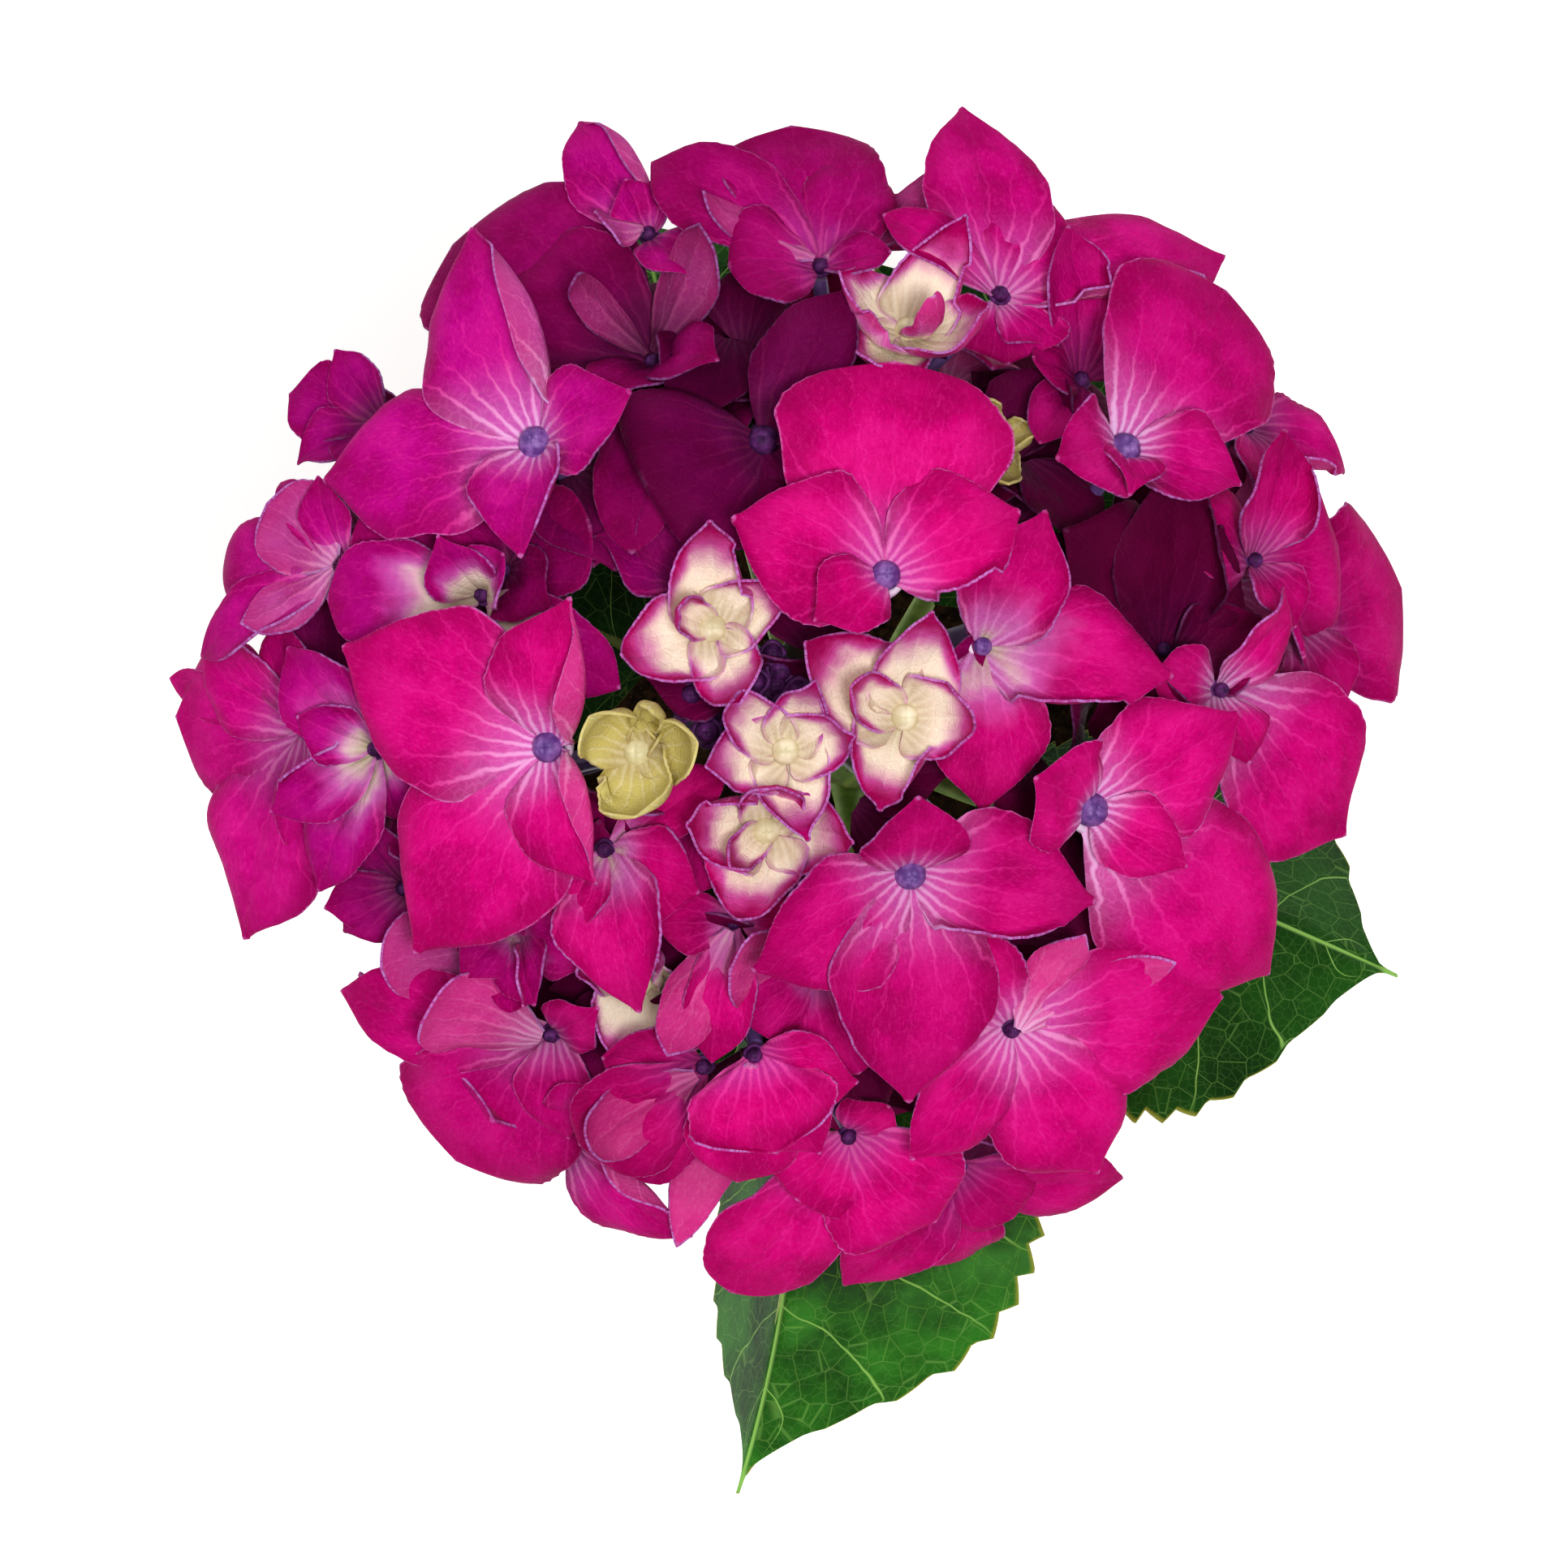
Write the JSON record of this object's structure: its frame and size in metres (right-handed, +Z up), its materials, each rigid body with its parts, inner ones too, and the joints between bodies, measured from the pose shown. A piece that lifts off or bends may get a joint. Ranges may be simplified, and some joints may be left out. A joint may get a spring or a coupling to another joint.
{
  "type": "potted hydrangea",
  "caption": "Small mophead hydrangea in a plain round pot: a domed head of magenta four-sepal florets on forked stalks, toothed leaves and a woody stem.",
  "frame": {"origin": "centre of the pot's flat underside", "axes": "+Z up, along the pot's axis; +Y away from the viewer when the flower head is seen from above; +X to the right"},
  "size_m": [0.1612, 0.1806, 0.2531],
  "materials": {
    "pot_plastic": "matte moulded plastic, terracotta brown",
    "compost": "loose dark peat compost, moist",
    "woody_stem": "young green-brown bark",
    "stalk_flesh": "smooth fleshy stalk, pale green to violet",
    "leaf_green": "semi-gloss leaf with pale net veins",
    "sepal_crimson": "satin petal, crimson pink",
    "sepal_purple": "satin petal, purple magenta",
    "sepal_cream": "satin petal, cream with a magenta edge"
  },
  "bodies": {
    "root": {"pot": "pot_plastic", "stem": "woody_stem", "soil": "compost", "flower_stalks": "stalk_flesh", "crown_floret_1": "sepal_crimson", "crown_floret_2": "sepal_crimson", "crown_floret_3": "sepal_crimson", "crown_floret_4": "sepal_crimson", "crown_floret_5": "sepal_crimson", "crown_floret_6": "sepal_crimson", "crown_floret_7": "sepal_crimson", "young_floret_1": "sepal_cream", "young_floret_2": "sepal_cream", "young_floret_3": "sepal_cream", "young_floret_4": "sepal_cream", "young_floret_5": "sepal_cream", "young_floret_6": "sepal_cream", "young_floret_7": "sepal_cream", "young_floret_8": "sepal_cream", "back_floret_1": "sepal_purple", "back_floret_2": "sepal_purple", "back_floret_3": "sepal_purple", "back_floret_4": "sepal_purple", "back_floret_5": "sepal_purple", "back_floret_6": "sepal_purple", "right_floret_1": "sepal_crimson", "right_floret_2": "sepal_crimson", "right_floret_3": "sepal_crimson", "right_floret_4": "sepal_crimson", "right_floret_5": "sepal_crimson", "left_floret_1": "sepal_purple", "left_floret_2": "sepal_purple", "left_floret_3": "sepal_purple", "left_floret_4": "sepal_purple", "left_floret_5": "sepal_purple", "left_floret_6": "sepal_purple", "left_floret_7": "sepal_purple", "left_floret_8": "sepal_purple", "left_floret_9": "sepal_purple", "left_floret_10": "sepal_purple", "front_floret_1": "sepal_crimson", "front_floret_2": "sepal_crimson", "front_floret_3": "sepal_crimson", "front_floret_4": "sepal_crimson", "front_floret_5": "sepal_crimson", "front_floret_6": "sepal_crimson", "front_floret_7": "sepal_crimson", "front_floret_8": "sepal_crimson", "front_floret_9": "sepal_crimson", "skirt_floret_1": "sepal_purple", "skirt_floret_2": "sepal_purple", "skirt_floret_3": "sepal_purple", "skirt_floret_4": "sepal_purple", "skirt_floret_5": "sepal_purple", "leaf_1": "leaf_green", "leaf_2": "leaf_green", "leaf_3": "leaf_green", "leaf_4": "leaf_green", "leaf_5": "leaf_green", "leaf_6": "leaf_green"}
  },
  "joints": []
}
